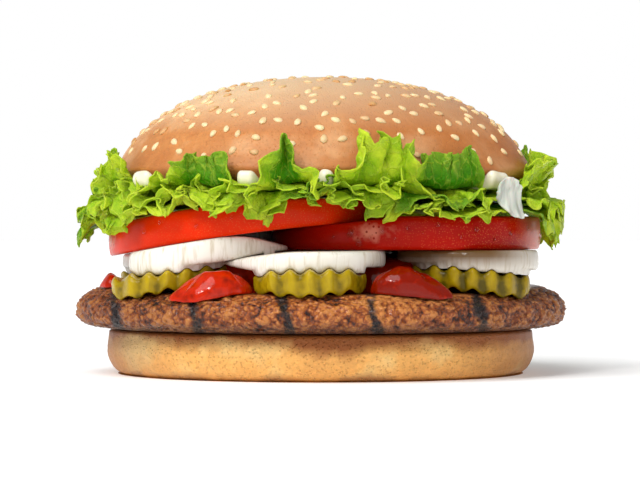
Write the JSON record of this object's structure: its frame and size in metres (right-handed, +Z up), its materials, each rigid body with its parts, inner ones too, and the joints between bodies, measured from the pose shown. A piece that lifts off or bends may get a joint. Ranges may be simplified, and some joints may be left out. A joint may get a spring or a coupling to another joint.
{
  "type": "burger",
  "caption": "Round hamburger: seeded bun crown, mayonnaise, frilly lettuce, tomato, onion, crinkle pickles, ketchup and a grilled patty stacked on a bun heel.",
  "frame": {"origin": "centre of the heel's flat base, on the surface that the burger stands on", "axes": "+Z up, -Y to the front that the picture shows, +X to that front's right"},
  "size_m": [0.1312, 0.1314, 0.0794],
  "materials": {
    "toasted_bun": "baked crust, satin, golden brown",
    "grilled_beef": "seared ground beef, moist",
    "pickle": "wet pickled flesh",
    "ketchup": "glossy thick sauce",
    "raw_onion": "moist, slightly translucent flesh",
    "tomato": "moist skin and cut flesh",
    "lettuce": "fresh leaf, satin, translucent",
    "mayonnaise": "smooth cream"
  },
  "bodies": {
    "root": {"top_bun": "toasted_bun", "bottom_bun": "toasted_bun", "patty": "grilled_beef", "pickle_left": "pickle", "pickle_centre": "pickle", "pickle_right": "pickle", "pickle_back_left": "pickle", "pickle_back_centre": "pickle", "pickle_back_right": "pickle", "ketchup_left": "ketchup", "ketchup_right": "ketchup", "ketchup_side": "ketchup", "ketchup_back_left": "ketchup", "ketchup_back_right": "ketchup", "onion_left": "raw_onion", "onion_centre": "raw_onion", "onion_right": "raw_onion", "onion_back_left": "raw_onion", "onion_back_centre": "raw_onion", "onion_back_right": "raw_onion", "tomato_left": "tomato", "tomato_right": "tomato", "lettuce_lower": "lettuce", "lettuce_middle": "lettuce", "lettuce_upper": "lettuce", "lettuce_rib": "lettuce", "mayonnaise": "mayonnaise"}
  },
  "joints": []
}
